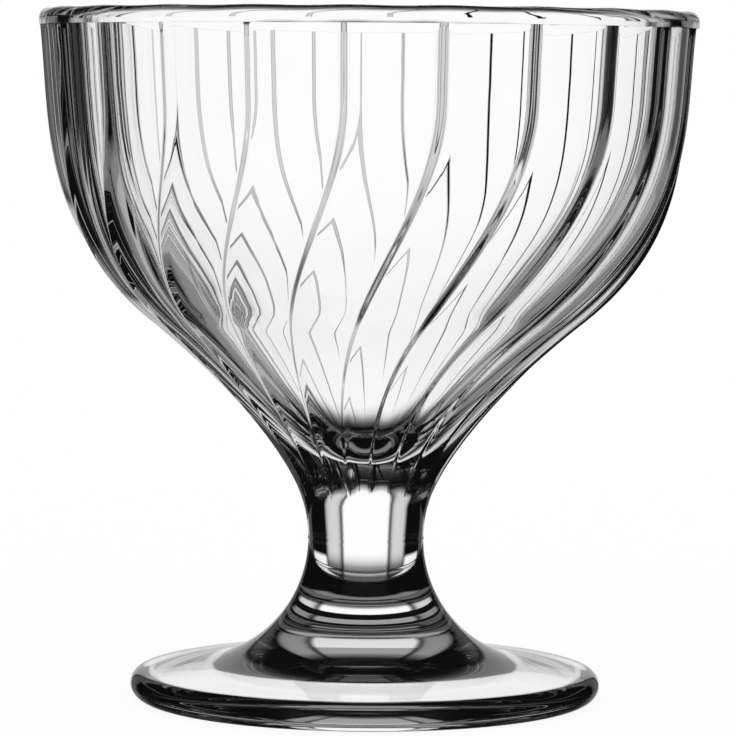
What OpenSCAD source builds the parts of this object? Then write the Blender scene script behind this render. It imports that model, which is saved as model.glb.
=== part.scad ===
/* [Overall] */
// Height of the glass from the table to the rim
glass_h = 107; // [95:0.5:125]

/* [Bowl] */
// Outside diameter at the rim
rim_d = 102; // [90:0.5:116]
// Wall thickness at the rim
rim_wall = 4.4; // [3:0.1:5.5]
// Rounding of the fire-polished lip
lip_round = 1.5; // [0.8:0.1:2]
// Height of the plain band between the flutes and the rim
rim_band_h = 2.6; // [2:0.1:5]
// How far the plain band stands proud of the flutes' ridges
rim_band_proud = 0.12; // [0.05:0.01:0.4]
// Lean of the wall at the rim, outwards from upright
wall_lean = 6; // [2:0.5:10]
// Outside diameter where the bowl leans out most
cone_d = 67.5; // [58:0.5:76]
// Depth of that place below the rim
cone_drop = 48; // [42:0.5:54]
// Lean of the bowl there, outwards from upright
cone_lean = 51; // [44:1:56]
// Wall thickness there
cone_wall = 6; // [4:0.1:8]
// Thickness of the floor, from the weld up to the cavity
floor_t = 9; // [5:0.1:12]

/* [Swirl flutes] */
// Number of flutes around the bowl
flute_count = 22; // [16:1:28]
// Height of the step from each flute up to the next, at the rim
flute_step = 0.9; // [0.4:0.05:1.4]
// Power of the radius by which that step shrinks towards the stem
flute_taper = 1.25; // [1:0.05:2]
// Width of the step, at the rim
flute_riser_w = 1.9; // [0.8:0.1:3]
// Angle that the flutes swirl through between rim and stem
flute_twist = 27; // [0:1:60]
// Depth below the rim where the swirl begins
swirl_drop = 14; // [6:0.5:24]
// Bearing of one ridge at the rim
flute_turn = 5.1; // [0:0.1:16]
// Height over which the flutes fade out above the stem
flute_fade_h = 4; // [2:0.5:8]

/* [Stem] */
// Diameter of the waist, the narrowest place
waist_d = 18; // [14:0.5:24]
// Radius of the hollow curve above the waist
throat_r = 19; // [13:0.5:26]
// Height of the stem above the waist, up to the weld under the bowl
stem_rise = 6; // [3:0.5:9]
// Radius of the hollow curve below the waist
flare_r = 19.5; // [15:0.1:24]
// Height of the stem below the waist, down to the weld on the foot
stem_drop = 13.5; // [8:0.5:14]

/* [Foot] */
// Diameter of the foot
foot_d = 73.2; // [62:0.1:86]
// Thickness of the rounded edge
foot_edge_t = 4.6; // [3:0.1:6]
// Slope of the foot's top
foot_slope = 7.5; // [4:0.5:14]
// Width of the flat ring that the glass stands on
stand_w = 1.3; // [0.8:0.1:6]
// Depth of the hollow inside that ring, in the middle
hollow_h = 3.6; // [1:0.1:4.5]

/* [Hidden] */
$fn = 128;
glass_tint = [0.86, 0.89, 0.91, 0.45];

// Pull of the curve handles that shape the bowl, in mm along each tangent
throat_pull = 9;
cone_pull_low = 12;
cone_pull_high = 22;
wall_pull = 15;
floor_pull = 8;
cavity_pull_low = 18;

// Steps along the curves and across one flute
throat_steps = 18;
shoulder_steps = 26;
cavity_steps = 24;
panel_steps = 2;
riser_steps = 3;

// Largest share of the wall's thickness that one rounding of the lip takes
lip_share = 0.45;

// Laps that keep joined and cut shapes from ending on one another
band_lap = 1;
cut_lap = 1;

// Foot: edge circle, top slope and the point where the slope meets the flare
edge_r = foot_edge_t / 2;
edge_x = foot_d / 2 - edge_r;
slope_x = edge_x + edge_r * sin(foot_slope);
slope_z = edge_r + edge_r * cos(foot_slope);
waist_r = waist_d / 2;
flare_x = waist_r + flare_r * (1 - sin(foot_slope));
flare_z = slope_z + (slope_x - flare_x) * tan(foot_slope);
hollow_half = edge_x - stand_w;
hollow_r = (pow(hollow_half, 2) + pow(hollow_h, 2)) / (2 * hollow_h);

// Stem: heights of the waist and of the two weld faces
waist_z = flare_z + flare_r * cos(foot_slope);
foot_weld_z = waist_z - stem_drop;
bowl_weld_z = waist_z + stem_rise;
bowl_weld_r = waist_r + throat_r - sqrt(pow(throat_r, 2) - pow(stem_rise, 2));
bowl_weld_lean = asin(stem_rise / throat_r);

// Bowl: corner points of the outside and of the cavity
rim_r = rim_d / 2;
lip_r = min(lip_round, lip_share * rim_wall);
band_z = glass_h - rim_band_h;
mouth_r = rim_r - rim_wall;
lip_z = glass_h - lip_r;
lip_out_p = [rim_r - lip_r * (1 - cos(wall_lean)), lip_z - lip_r * sin(wall_lean)];
band_r = lip_out_p[0] - (lip_out_p[1] - band_z) * tan(wall_lean);
cone_p = [cone_d / 2, glass_h - cone_drop];
cavity_cone_p = cone_p + cone_wall * [-cos(cone_lean), sin(cone_lean)];
floor_p = [0, bowl_weld_z + floor_t];
ridge_top_p = [band_r - rim_band_proud + band_lap * tan(wall_lean), band_z + band_lap];
swirl_z = glass_h - swirl_drop;
flute_pitch = 360 / flute_count;
panel_angle = flute_pitch - flute_riser_w / rim_r * 180 / PI;

// Unit direction in the profile plane, leaning outwards from upright
function lean_dir(a) = [sin(a), cos(a)];

// Point at share t of the cubic curve with control points p
function curve_at(p, t) =
    pow(1 - t, 3) * p[0] + 3 * t * pow(1 - t, 2) * p[1] + 3 * t * t * (1 - t) * p[2] + pow(t, 3) * p[3];

// Smooth rise from 0 to 1 as x goes from 0 to 1
function ease(x) = let (c = min(1, max(0, x))) c * c * (3 - 2 * c);

throat = [
    [bowl_weld_r, bowl_weld_z],
    [bowl_weld_r, bowl_weld_z] + throat_pull * lean_dir(bowl_weld_lean),
    cone_p - cone_pull_low * lean_dir(cone_lean),
    cone_p
];
shoulder = [
    cone_p,
    cone_p + cone_pull_high * lean_dir(cone_lean),
    ridge_top_p - wall_pull * lean_dir(wall_lean),
    ridge_top_p
];
cavity_low = [
    floor_p,
    floor_p + [floor_pull, 0],
    cavity_cone_p - cavity_pull_low * lean_dir(cone_lean),
    cavity_cone_p
];
mouth_p = [mouth_r + lip_r * (1 - cos(wall_lean)), lip_z + lip_r * sin(wall_lean)];
cavity_high = [
    cavity_cone_p,
    cavity_cone_p + cone_pull_high * lean_dir(cone_lean),
    mouth_p - wall_pull * lean_dir(wall_lean),
    mouth_p
];

// Outside of the bowl along its ridges, from the weld up into the plain band
ridge_line = concat(
    [for (i = [0 : throat_steps - 1]) curve_at(throat, i / throat_steps)],
    [for (i = [0 : shoulder_steps]) curve_at(shoulder, i / shoulder_steps)]
);

// Share of the full flute at height z: none at the weld, all of it above the fade
function flute_share(z) = ease((z - bowl_weld_z) / flute_fade_h);

// Bearing of the first ridge at height z
function ridge_bearing(z) = flute_turn - flute_twist * ease((swirl_z - z) / (swirl_z - bowl_weld_z));

// Points across one flute whose ridge has radius r, starting at bearing b. The panel is a straight
// chord that falls by the step, and the riser climbs back to the next ridge.
function flute_points(r, share, b) =
    let (step = flute_step * pow(r / rim_r, flute_taper) * share,
         high = r * [cos(b), sin(b)],
         low = (r - step) * [cos(b + panel_angle), sin(b + panel_angle)])
    concat(
        [for (i = [0 : panel_steps - 1])
            let (s = i / panel_steps, a = b + panel_angle * s)
            share * (high + s * (low - high)) + (1 - share) * r * [cos(a), sin(a)]],
        [for (i = [0 : riser_steps - 1])
            let (s = i / riser_steps, a = b + panel_angle + (flute_pitch - panel_angle) * s)
            (r - step * (1 - ease(s))) * [cos(a), sin(a)]]
    );

// Closed ring of points at one place on the ridge line
function flute_ring(p) = [
    for (k = [0 : flute_count - 1])
        for (q = flute_points(p[0], flute_share(p[1]), ridge_bearing(p[1]) + k * flute_pitch))
            [q[0], q[1], p[1]]
];

// Solid body of the bowl with swirled flutes, up to the plain band
module fluted_body() {
    cols = flute_count * (panel_steps + riser_steps);
    rows = len(ridge_line);
    points = [for (p = ridge_line) each flute_ring(p)];
    sides = [
        for (i = [0 : rows - 2])
            for (j = [0 : cols - 1])
                let (a = i * cols + j, b = i * cols + (j + 1) % cols)
                each [[a, a + cols, b], [b, a + cols, b + cols]]
    ];
    bottom = [for (j = [0 : cols - 1]) j];
    top = [for (j = [0 : cols - 1]) rows * cols - 1 - j];
    polyhedron(points, concat(sides, [bottom, top]), convexity = 6);
}

// Plain band under the rim with its rounded outer lip
module rim_band() {
    rotate_extrude() {
        polygon([
            [0, band_z],
            [band_r, band_z],
            lip_out_p,
            [rim_r - lip_r, glass_h],
            [0, glass_h]
        ]);
        translate([rim_r - lip_r, lip_z])
            circle(lip_r);
    }
}

// Space inside the bowl, opening at the rim over the rounded inner lip
module cavity() {
    rotate_extrude() {
        polygon(concat(
            [for (i = [0 : cavity_steps - 1]) curve_at(cavity_low, i / cavity_steps)],
            [for (i = [0 : cavity_steps]) curve_at(cavity_high, i / cavity_steps)],
            [[mouth_p[0], glass_h + cut_lap], [0, glass_h + cut_lap]]
        ));
        difference() {
            translate([0, mouth_p[1]])
                square([mouth_r + lip_r, glass_h + cut_lap - mouth_p[1]]);
            translate([mouth_r + lip_r, lip_z])
                circle(lip_r);
        }
    }
}

// Outline between the axis and a hollow arc that leaves radius r upright and spreads over height h
module flare(r, arc_r, h) {
    difference() {
        square([r + arc_r, h]);
        translate([r + arc_r, 0])
            circle(arc_r);
    }
}

// Pressed cup with swirled flutes outside, a smooth cavity and a thick floor
module bowl() {
    color(glass_tint)
    difference() {
        union() {
            fluted_body();
            rim_band();
        }
        cavity();
    }
}

// Short solid waisted column between the two welds
module stem() {
    color(glass_tint)
    translate([0, 0, waist_z])
    rotate_extrude() {
        flare(waist_r, throat_r, stem_rise);
        mirror([0, 1])
            flare(waist_r, flare_r, stem_drop);
    }
}

// Round foot with a thick rounded edge, a sloping top that rises into the stem and a shallow hollow below
module foot() {
    color(glass_tint)
    rotate_extrude()
    difference() {
        union() {
            polygon([
                [0, 0],
                [edge_x, 0],
                [slope_x, slope_z],
                [flare_x, flare_z],
                [flare_x, foot_weld_z],
                [0, foot_weld_z]
            ]);
            translate([edge_x, edge_r])
                circle(edge_r);
        }
        translate([waist_r + flare_r, waist_z])
            circle(flare_r);
        translate([0, hollow_h - hollow_r])
            circle(hollow_r);
    }
}

bowl();
stem();
foot();
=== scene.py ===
import math

import bpy
import numpy as np
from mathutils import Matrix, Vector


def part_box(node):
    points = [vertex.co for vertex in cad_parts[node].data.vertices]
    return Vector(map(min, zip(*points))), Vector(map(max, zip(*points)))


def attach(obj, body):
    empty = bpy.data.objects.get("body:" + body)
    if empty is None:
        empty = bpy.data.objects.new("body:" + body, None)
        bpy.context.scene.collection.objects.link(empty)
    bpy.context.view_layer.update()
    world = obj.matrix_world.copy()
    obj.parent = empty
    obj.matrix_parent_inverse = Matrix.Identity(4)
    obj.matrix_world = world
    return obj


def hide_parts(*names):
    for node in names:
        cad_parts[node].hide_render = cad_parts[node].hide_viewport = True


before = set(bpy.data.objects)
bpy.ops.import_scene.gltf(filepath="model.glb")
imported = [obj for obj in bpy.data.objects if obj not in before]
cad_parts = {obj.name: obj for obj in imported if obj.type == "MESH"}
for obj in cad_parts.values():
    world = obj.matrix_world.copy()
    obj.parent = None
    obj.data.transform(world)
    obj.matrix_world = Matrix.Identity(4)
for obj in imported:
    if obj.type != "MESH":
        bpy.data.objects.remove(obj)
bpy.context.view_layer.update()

# Bowl: a wide pressed cup of clear glass. Its outside has flutes that stand upright under a plain
# rim band and swirl as they run down to the stem. Inside it is smooth, with a rounded lip and a
# thick floor. It is welded hot to the top of the stem.
bowl_low, bowl_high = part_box("bowl")
glass_h = bowl_high[2]
rim_r = bowl_high[0]
bowl_weld_z = bowl_low[2]
rim_wall = 0.0044
lip_r = 0.0015
rim_band_h = 0.0026
rim_band_proud = 0.00012
band_ledge_h = 0.00002
rim_wave = 0.00012
wall_lean = math.radians(6)
cone_r = 0.03375
cone_drop = 0.048
cone_lean = math.radians(51)
cone_wall = 0.006
floor_t = 0.009
waist_r = 0.009
throat_r = 0.019
stem_rise = 0.006

# Pull of the handles that shape the bowl's curves, along each tangent
throat_pull = 0.009
cone_pull_low = 0.012
cone_pull_high = 0.022
wall_pull = 0.015
floor_pull = 0.008
cavity_pull_low = 0.018

# The flutes, with a panel and a riser in each pitch
flute_count = 22
flute_step = 0.0009
flute_taper = 1.25
flute_riser_w = 0.0019
flute_twist = math.radians(27)
flute_turn = math.radians(5.1)
flute_fade_h = 0.004
swirl_drop = 0.014
flute_pitch = 2 * math.pi / flute_count
panel_angle = flute_pitch - flute_riser_w / rim_r

# Columns across one flute, rows along the curves, and the angle from which an edge stays sharp
panel_cols = 8
riser_cols = 10
throat_rows = 46
shoulder_rows = 90
band_rows = 4
lip_rows = 12
wall_rows = 46
floor_rows = 36
sharp_angle = math.radians(40)


def lean_dir(a):
    """Unit direction in the profile plane, leaning outwards from upright by angle a."""
    return np.array([math.sin(a), math.cos(a)])


def cubic(p, t):
    """Points at shares t of the cubic curve with control points p, by the Bernstein sum."""
    t = np.asarray(t)[:, None]
    u = 1 - t
    return u ** 3 * p[0] + 3 * t * u ** 2 * p[1] + 3 * t * t * u * p[2] + t ** 3 * p[3]


def arc(centre, radius, start, end, count):
    """Points of a circular arc in the profile plane, from angle start to angle end in degrees."""
    a = np.radians(np.linspace(start, end, count))
    return np.array(centre) + radius * np.stack([np.cos(a), np.sin(a)], 1)


def ease(x):
    """Smooth rise from 0 to 1: three x squared less two x cubed, held at both ends."""
    c = np.clip(x, 0, 1)
    return c * c * (3 - 2 * c)


def ring_solid(name, rings, start_cap, end_cap):
    """Closed mesh of a stack of rings (rows, columns, xyz), with a fan to the axis at each end.

    Quads join ring to ring; each cap is the material slot that its end fan takes.
    """
    rows, cols = rings.shape[:2]
    poles = np.array([[0, 0, rings[0, :, 2].mean()], [0, 0, rings[-1, :, 2].mean()]])
    points = np.concatenate([rings.reshape(-1, 3), poles])
    j = np.arange(cols)
    nxt = (j + 1) % cols
    row = cols * np.arange(rows - 1)[:, None]
    quads = np.stack([row + j, row + nxt, row + cols + nxt, row + cols + j], -1).reshape(-1, 4)
    last = (rows - 1) * cols
    first_pole = rows * cols
    fans = np.concatenate([
        np.stack([np.full(cols, first_pole), nxt, j], 1),
        np.stack([last + j, last + nxt, np.full(cols, first_pole + 1)], 1),
    ])
    loops = np.concatenate([quads.ravel(), fans.ravel()])
    starts = np.concatenate([
        np.arange(len(quads)) * 4,
        len(quads) * 4 + np.arange(len(fans)) * 3,
    ])
    slots = np.concatenate([np.zeros(len(quads), int), np.repeat([start_cap, end_cap], cols)])
    mesh = bpy.data.meshes.new(name)
    mesh.vertices.add(len(points))
    mesh.vertices.foreach_set("co", points.ravel())
    mesh.loops.add(len(loops))
    mesh.loops.foreach_set("vertex_index", loops)
    mesh.polygons.add(len(starts))
    mesh.polygons.foreach_set("loop_start", starts)
    mesh.polygons.foreach_set("material_index", slots)
    mesh.update(calc_edges=True)
    mesh.validate()
    mesh.shade_smooth()
    mesh.set_sharp_from_angle(angle=sharp_angle)
    piece = bpy.data.objects.new(name, mesh)
    bpy.context.scene.collection.objects.link(piece)
    return piece


def flute_shape(ridge, share, bearing):
    """Ring of points round the flutes for each ridge radius, flute share and bearing.

    A panel is the straight chord from one ridge down to the foot of the next step, and the riser
    eases back up to the next ridge. Where the share is below 1 the ring nears a plain circle.
    """
    r = ridge[:, None, None]
    f = share[:, None, None]
    first = bearing[:, None, None] + flute_pitch * np.arange(flute_count)[None, :, None]
    step = flute_step * (r / rim_r) ** flute_taper * f
    s = (np.arange(panel_cols) / panel_cols)[None, None, :]
    a = first + panel_angle * s
    low_a = first + panel_angle
    chord_x = (1 - s) * r * np.cos(first) + s * (r - step) * np.cos(low_a)
    chord_y = (1 - s) * r * np.sin(first) + s * (r - step) * np.sin(low_a)
    panel_x = f * chord_x + (1 - f) * r * np.cos(a)
    panel_y = f * chord_y + (1 - f) * r * np.sin(a)
    s = (np.arange(riser_cols) / riser_cols)[None, None, :]
    a = low_a + (flute_pitch - panel_angle) * s
    riser_r = r - step * (1 - ease(s))
    x = np.concatenate([panel_x, riser_r * np.cos(a)], 2)
    y = np.concatenate([panel_y, riser_r * np.sin(a)], 2)
    return x.reshape(len(ridge), -1), y.reshape(len(ridge), -1)


def turned_rings(profile, bearing):
    """Rings of a turned surface: each profile point (radius, height) carried round the bearings."""
    r, z = profile[:, :1], profile[:, 1:]
    return np.stack(np.broadcast_arrays(r * np.cos(bearing), r * np.sin(bearing), z), -1)


# Outside, along the ridges from the weld up to the lip
band_z = glass_h - rim_band_h
swirl_z = glass_h - swirl_drop
bowl_weld_r = waist_r + throat_r - math.sqrt(throat_r ** 2 - stem_rise ** 2)
bowl_weld_lean = math.asin(stem_rise / throat_r)
weld_p = np.array([bowl_weld_r, bowl_weld_z])
cone_p = np.array([cone_r, glass_h - cone_drop])
lip_z = glass_h - lip_r
lip_in = lip_r * (1 - math.cos(wall_lean))
lip_drop = lip_r * math.sin(wall_lean)
lip_out_p = np.array([rim_r - lip_in, lip_z - lip_drop])
band_p = lip_out_p - (lip_out_p[1] - band_z) * np.array([math.tan(wall_lean), 1])
ridge_top_p = band_p - [rim_band_proud, 0]
throat = [
    weld_p,
    weld_p + throat_pull * lean_dir(bowl_weld_lean),
    cone_p - cone_pull_low * lean_dir(cone_lean),
    cone_p,
]
shoulder = [
    cone_p,
    cone_p + cone_pull_high * lean_dir(cone_lean),
    ridge_top_p - wall_pull * lean_dir(wall_lean),
    ridge_top_p,
]
ridge_line = np.concatenate([
    cubic(throat, np.linspace(0, 1, throat_rows)[:-1]),
    cubic(shoulder, np.linspace(0, 1, shoulder_rows)),
    np.linspace(band_p + [0, band_ledge_h], lip_out_p, band_rows),
])
ridge_z = ridge_line[:, 1]
flute_share = np.where(ridge_z > band_z, 0, ease((ridge_z - bowl_weld_z) / flute_fade_h))
swirl = flute_twist * ease((swirl_z - ridge_z) / (swirl_z - bowl_weld_z))
outer_x, outer_y = flute_shape(ridge_line[:, 0], flute_share, flute_turn - swirl)
outer_z = np.broadcast_to(ridge_z[:, None], outer_x.shape)
outer_rings = np.stack([outer_x, outer_y, outer_z], -1)

# Bearings of the columns, at the rim and where the swirl ends at the weld
flute_cols = np.concatenate([
    panel_angle * np.arange(panel_cols) / panel_cols,
    panel_angle + (flute_pitch - panel_angle) * (np.arange(riser_cols) / riser_cols),
])
col_bearing = (flute_pitch * np.arange(flute_count)[:, None] + flute_cols[None, :]).ravel()
rim_bearing = flute_turn + col_bearing
weld_bearing = flute_turn - flute_twist + col_bearing

# Inside, over the lip and down the cavity to the floor
mouth_r = rim_r - rim_wall
mouth_p = np.array([mouth_r + lip_in, lip_z + lip_drop])
cavity_cone_p = cone_p + cone_wall * np.array([-math.cos(cone_lean), math.sin(cone_lean)])
floor_p = np.array([0, bowl_weld_z + floor_t])
cavity_low = [
    floor_p,
    floor_p + [floor_pull, 0],
    cavity_cone_p - cavity_pull_low * lean_dir(cone_lean),
    cavity_cone_p,
]
cavity_high = [
    cavity_cone_p,
    cavity_cone_p + cone_pull_high * lean_dir(cone_lean),
    mouth_p - wall_pull * lean_dir(wall_lean),
    mouth_p,
]
lip_start = -math.degrees(wall_lean)
lip_end = 180 - math.degrees(wall_lean)
inside_line = np.concatenate([
    arc((rim_r - lip_r, lip_z), lip_r, lip_start, 90, lip_rows)[1:],
    arc((mouth_r + lip_r, lip_z), lip_r, 90, lip_end, lip_rows),
    cubic(cavity_high, np.linspace(1, 0, wall_rows))[1:-1],
    cubic(cavity_low, np.linspace(1, 0, floor_rows))[:-1],
])
bowl_rings = np.concatenate([outer_rings, turned_rings(inside_line, rim_bearing)])
rim_lift = np.clip((bowl_rings[..., 2] - band_z) / rim_band_h, 0, 1)
wave = 0.5 - 0.5 * np.cos(flute_count * (rim_bearing - flute_turn))
bowl_rings[..., 2] -= rim_wave * rim_lift * wave

# Clear glass: its bending of light, the shine of a face seen square on, and its faint unevenness
glass_ior = 1.52
face_shine = 0.1
cloud_scale = 60
cloud_detail = 3
tint_stops = [(0.3, (0.988, 0.986, 0.996, 1)), (0.7, (0.998, 0.997, 1.0, 1))]
polish_span = {"From Min": 0.35, "From Max": 0.75, "To Min": 0.0, "To Max": 0.02}
ripple_scale = 140
ripple_detail = 1
ripple_share = 0.3
ripple_h = 0.00004


def clear_glass(name, seed):
    """Clear pressed glass: faint ripples from the mould and an uneven tint and polish."""
    mat = bpy.data.materials.new(name)
    mat.use_nodes = True
    nodes, links = mat.node_tree.nodes, mat.node_tree.links
    shader = nodes["Principled BSDF"]
    shader.inputs["IOR"].default_value = glass_ior
    shader.inputs["Transmission Weight"].default_value = 1.0
    shader.inputs["Specular Tint"].default_value = (face_shine, face_shine, face_shine, 1)
    place = nodes.new("ShaderNodeTexCoord")
    mapping = nodes.new("ShaderNodeMapping")
    mapping.inputs["Location"].default_value = (seed, 2 * seed, 3 * seed)
    links.new(place.outputs["Object"], mapping.inputs["Vector"])
    cloud = nodes.new("ShaderNodeTexNoise")
    cloud.inputs["Scale"].default_value = cloud_scale
    cloud.inputs["Detail"].default_value = cloud_detail
    links.new(mapping.outputs["Vector"], cloud.inputs["Vector"])
    tint = nodes.new("ShaderNodeValToRGB")
    for stop, (position, colour) in zip(tint.color_ramp.elements, tint_stops):
        stop.position = position
        stop.color = colour
    links.new(cloud.outputs["Fac"], tint.inputs["Fac"])
    links.new(tint.outputs["Color"], shader.inputs["Base Color"])
    polish = nodes.new("ShaderNodeMapRange")
    for socket, value in polish_span.items():
        polish.inputs[socket].default_value = value
    links.new(cloud.outputs["Fac"], polish.inputs["Value"])
    links.new(polish.outputs["Result"], shader.inputs["Roughness"])
    ripple = nodes.new("ShaderNodeTexNoise")
    ripple.inputs["Scale"].default_value = ripple_scale
    ripple.inputs["Detail"].default_value = ripple_detail
    links.new(mapping.outputs["Vector"], ripple.inputs["Vector"])
    bump = nodes.new("ShaderNodeBump")
    bump.inputs["Strength"].default_value = ripple_share
    bump.inputs["Distance"].default_value = ripple_h
    links.new(ripple.outputs["Fac"], bump.inputs["Height"])
    links.new(bump.outputs["Normal"], shader.inputs["Normal"])
    return mat


def fused_face(name):
    """A weld between two hot pieces: the glass runs on through it, so no surface shows there."""
    mat = bpy.data.materials.new(name)
    mat.use_nodes = True
    nodes, links = mat.node_tree.nodes, mat.node_tree.links
    nodes.remove(nodes["Principled BSDF"])
    clear = nodes.new("ShaderNodeBsdfTransparent")
    links.new(clear.outputs["BSDF"], nodes["Material Output"].inputs["Surface"])
    return mat


weld = fused_face("fused_weld")
bowl = ring_solid("fluted_bowl", bowl_rings, start_cap=1, end_cap=0)
bowl.data.materials.append(clear_glass("bowl_glass", 1.0))
bowl.data.materials.append(weld)
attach(bowl, "root")
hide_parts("bowl")

# Stem: a short solid column of the same glass, drawn in to a waist where the mould left a faint
# seam. It is welded hot to the bowl above and to the foot below.
stem_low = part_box("stem")[0]
foot_weld_z = stem_low[2]
flare_r = 0.0195
waist_z = bowl_weld_z - stem_rise
seam_proud = 0.00005
seam_half = 0.0003
seam_reach = 0.0012
flare_rows = 36
seam_rows = 29
neck_rows = 16
stem_z = np.concatenate([
    np.linspace(foot_weld_z, waist_z - seam_reach, flare_rows),
    np.linspace(waist_z - seam_reach, waist_z + seam_reach, seam_rows)[1:-1],
    np.linspace(waist_z + seam_reach, bowl_weld_z, neck_rows),
])
arc_r = np.where(stem_z < waist_z, flare_r, throat_r)
stem_r = waist_r + arc_r - np.sqrt(arc_r ** 2 - (stem_z - waist_z) ** 2)
stem_r += seam_proud * np.exp(-((stem_z - waist_z) / seam_half) ** 2)
stem_line = np.stack([stem_r, stem_z], 1)
stem = ring_solid("waisted_stem", turned_rings(stem_line, weld_bearing), start_cap=1, end_cap=1)
stem.data.materials.append(clear_glass("stem_glass", 2.0))
stem.data.materials.append(weld)
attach(stem, "root")
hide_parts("stem")

# Foot: a pressed round disc of the same glass with a thick rounded edge. Its top slopes up into
# the stem, and a hollow below leaves a flat ring that it stands on. It is welded hot to the stem.
foot_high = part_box("foot")[1]
foot_r = foot_high[0]
edge_r = 0.0023
foot_slope = 7.5
hollow_half = 0.033
hollow_h = 0.0036
hollow_rows = 40
ring_rows = 6
edge_rows = 30
slope_rows = 40
hollow_r = (hollow_half ** 2 + hollow_h ** 2) / (2 * hollow_h)
hollow_turn = math.degrees(math.asin(hollow_half / hollow_r))
flare_turn = math.degrees(math.asin((waist_z - foot_weld_z) / flare_r))
edge_x = foot_r - edge_r
flare_p = (waist_r + flare_r, waist_z)
foot_line = np.concatenate([
    arc((0, hollow_h - hollow_r), hollow_r, 90, 90 - hollow_turn, hollow_rows)[1:],
    np.linspace((hollow_half, 0), (edge_x, 0), ring_rows)[1:-1],
    arc((edge_x, edge_r), edge_r, -90, 90 - foot_slope, edge_rows),
    arc(flare_p, flare_r, 270 - foot_slope, 180 + flare_turn, slope_rows),
])
foot = ring_solid("round_foot", turned_rings(foot_line, weld_bearing), start_cap=0, end_cap=1)
foot.data.materials.append(clear_glass("foot_glass", 3.0))
foot.data.materials.append(weld)
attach(foot, "root")
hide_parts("foot")

# Table: a plain white surface under the glass that keeps a soft shadow.
# The glass itself looks past it to the studio, which stands all round.
table_half = 6.0
table_z = -0.00005
shadow_share = 0.08
table_corners = [
    (x * table_half, y * table_half, table_z) for x, y in ((-1, -1), (1, -1), (1, 1), (-1, 1))
]
table_mesh = bpy.data.meshes.new("table")
table_mesh.from_pydata(table_corners, [], [(0, 1, 2, 3)])
table = bpy.data.objects.new("table", table_mesh)
bpy.context.scene.collection.objects.link(table)
table.visible_transmission = False
table.visible_glossy = False
table_mat = bpy.data.materials.new("table_white")
table_mat.use_nodes = True
nodes, links = table_mat.node_tree.nodes, table_mat.node_tree.links
nodes.remove(nodes["Principled BSDF"])
matt = nodes.new("ShaderNodeBsdfDiffuse")
matt.inputs["Color"].default_value = (shadow_share, shadow_share, shadow_share, 1)
path = nodes.new("ShaderNodeLightPath")
glow = nodes.new("ShaderNodeMath")
glow.operation = "MULTIPLY"
glow.inputs[1].default_value = 1 - shadow_share
links.new(path.outputs["Is Camera Ray"], glow.inputs[0])
white = nodes.new("ShaderNodeEmission")
links.new(glow.outputs["Value"], white.inputs["Strength"])
both = nodes.new("ShaderNodeAddShader")
links.new(matt.outputs["BSDF"], both.inputs[0])
links.new(white.outputs["Emission"], both.inputs[1])
links.new(both.outputs["Shader"], nodes["Material Output"].inputs["Surface"])
table_mesh.materials.append(table_mat)

# Light: a white room. Through the glass it is a dark studio with white screens behind, at the sides
# and low down, grey stripes beside them, and a screen in front that shows in plain reflections.
# Light that is reflected inside the glass loses a share each time, and a share at a weld.
scene = bpy.context.scene
world = bpy.data.worlds.new("studio")
scene.world = world
world.use_nodes = True
nodes, links = world.node_tree.nodes, world.node_tree.links
background = nodes["Background"]
background.inputs["Color"].default_value = (1, 1, 1, 1)
flag_dark = 0.004
back_share = 0.75
stripe_share = 0.4
side_share = 0.45
weld_share = 0.45
glass_bounces = 28


def math_node(operation, a, b=None):
    """Math node of the world, with each input a number or another node's output."""
    n = nodes.new("ShaderNodeMath")
    n.operation = operation
    for socket, value in zip(n.inputs, (a, b)):
        if isinstance(value, (int, float)):
            socket.default_value = value
        elif value is not None:
            links.new(value, socket)
    return n.outputs["Value"]


def times(a, b):
    """Product of two inputs."""
    return math_node("MULTIPLY", a, b)


def brighter(a, b):
    """The larger of two inputs."""
    return math_node("MAXIMUM", a, b)


def less(a, b):
    """The first input less the second."""
    return math_node("SUBTRACT", a, b)


def ramp_node(share, stops, low, high):
    """Brightness at a share of the span from low to high degrees.

    It runs in straight lines between the stops, each a degree and a brightness.
    """
    n = nodes.new("ShaderNodeValToRGB")
    points = n.color_ramp.elements
    while len(points) < len(stops):
        points.new(1.0)
    for point, (degree, value) in zip(points, stops):
        point.position = (degree - low) / (high - low)
        point.color = (value, value, value, 1)
    links.new(share, n.inputs["Fac"])
    return n.outputs["Color"]


def screen_node(turns, heights):
    """Brightness of one set of screens: its profile round the glass times its profile in height."""
    return times(ramp_node(turn, turns, 0, 180), ramp_node(height, heights, -90, 90))


def past_edge(edge, way=1):
    """Stops from a screen's edge outwards: white, a dark gap, then a grey stripe that ends."""
    gap_and_stripe = [(1.5, 0.15), (2.5, 0.15), (4.5, 0.6), (8, 0.68), (14, 0.62), (18, 0)]
    return [(edge, 1)] + [(edge + way * past, value) for past, value in gap_and_stripe]


# Where a ray goes: its turn from straight behind to straight in front, and its height
direction = nodes.new("ShaderNodeTexCoord")
split = nodes.new("ShaderNodeSeparateXYZ")
links.new(direction.outputs["Generated"], split.inputs["Vector"])
across = math_node("ABSOLUTE", split.outputs["X"])
turn = math_node("DIVIDE", math_node("ARCTAN2", across, split.outputs["Y"]), math.pi)
rise = math_node("DIVIDE", math_node("ARCSINE", split.outputs["Z"]), math.pi)
height = math_node("ADD", rise, 0.5)

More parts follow.
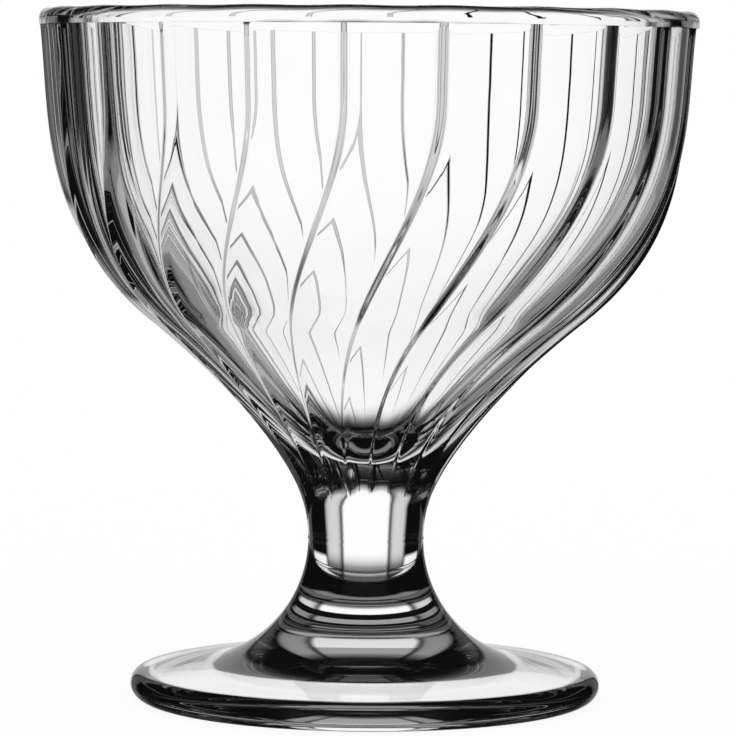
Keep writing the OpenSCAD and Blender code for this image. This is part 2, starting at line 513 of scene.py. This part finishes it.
# What a ray has met: no reflection, one off the outer face, or some inside the glass, and a weld
path = nodes.new("ShaderNodeLightPath")
reflections = path.outputs["Glossy Depth"]
straight = math_node("LESS_THAN", reflections, 0.5)
outer_face = math_node("LESS_THAN", path.outputs["Transmission Depth"], 0.5)
mirrored = times(outer_face, path.outputs["Is Glossy Ray"])
inner = less(less(1.0, straight), mirrored)
welded = math_node("GREATER_THAN", path.outputs["Transparent Depth"], 0.5)
crossed = times(welded, less(1.0, straight))
back_worn = times(math_node("POWER", back_share, reflections),
                  math_node("POWER", weld_share, crossed))
stripe_worn = math_node("POWER", stripe_share, reflections)
side_worn = times(math_node("POWER", side_share, reflections), times(inner, less(1.0, welded)))

# Screen behind, with its stripe apart because reflections dull that more
screen_height = [(-40, 0), (-34, 0.06), (-30, 0.13), (-25, 0.32), (-20, 0.75), (-15, 1),
                 (26, 1), (30, 0.5), (36, 0.06), (42, 0)]
back_edge = 15
back_turn = [(0, 1), (back_edge, 1), (16.5, 0.15), (17.5, 0.1), (19.5, 0)]
stripe_turn = [(16, 0)] + past_edge(back_edge)[2:]
back = brighter(times(screen_node(back_turn, screen_height), back_worn),
                times(screen_node(stripe_turn, screen_height), stripe_worn))

# Screens at the sides, and low ones between them, behind and in front
side_turn = [(57, 0), (61, 0.1), (70.5, 0.1), (73.5, 0.05), (75, 1)] + past_edge(105)
low_turn = [(31, 0), (35, 1), (55, 1), (59, 0)]
low_height = [(-64, 0), (-58, 1), (-21, 1), (-18, 0)]
rear_turn = past_edge(120, -1)[::-1] + past_edge(150)
rear_height = [(-64, 0), (-58, 1), (-4, 1), (0, 0)]
sides = screen_node(side_turn, screen_height)
lows = brighter(screen_node(low_turn, low_height), screen_node(rear_turn, rear_height))
direct = times(brighter(sides, lows), math_node("ADD", straight, side_worn))

# Dim skirts under the screens, seen by reflection inside the glass
skirt_turn = [(16, 0), (20, 0.35), (55, 0.35), (62, 0)]
skirt_height = [(-46, 0), (-40, 1), (-15, 1), (-10, 0)]
deep_turn = [(0, 0.6), (52, 0.6), (60, 0)]
deep_height = [(-64, 0), (-57, 1), (-46, 1), (-41, 0)]
skirts = brighter(screen_node(skirt_turn, skirt_height), screen_node(deep_turn, deep_height))
skirt = times(skirts, times(back_worn, inner))

# Screen in front, seen only off the outer face
front_turn = [(135, 0), (145, 1), (180, 1)]
front_height = [(-90, 1), (35, 1), (45, 0)]
front = times(screen_node(front_turn, front_height), mirrored)

studio = brighter(brighter(brighter(back, direct), brighter(front, skirt)), flag_dark)
through_glass = brighter(path.outputs["Is Transmission Ray"], path.outputs["Is Glossy Ray"])
strength = math_node("ADD", times(through_glass, studio), less(1.0, through_glass))
links.new(strength, background.inputs["Strength"])
scene.view_settings.view_transform = "Standard"
scene.cycles.max_bounces = glass_bounces
scene.cycles.transmission_bounces = glass_bounces
scene.cycles.glossy_bounces = glass_bounces

# Camera: at the photograph's place, a little below the level of the rim and turned a little on
# its axis.
camera_distance = 0.630
camera_height = 0.09628
aim_height = 0.05154
camera_roll = 0.00725
picture_px = 736
focal_px = 4059.7
centre_px = 1.04
sensor_mm = 36.0
camera_tilt = math.pi / 2 - math.atan2(camera_height - aim_height, camera_distance)
camera_data = bpy.data.cameras.new("camera")
camera_data.sensor_width = sensor_mm
camera_data.lens = focal_px / picture_px * sensor_mm
camera_data.shift_x = centre_px / picture_px
camera = bpy.data.objects.new("camera", camera_data)
camera.location = (0, -camera_distance, camera_height)
camera.rotation_mode = "ZYX"
camera.rotation_euler = (camera_tilt, 0, camera_roll)
scene.collection.objects.link(camera)
scene.camera = camera
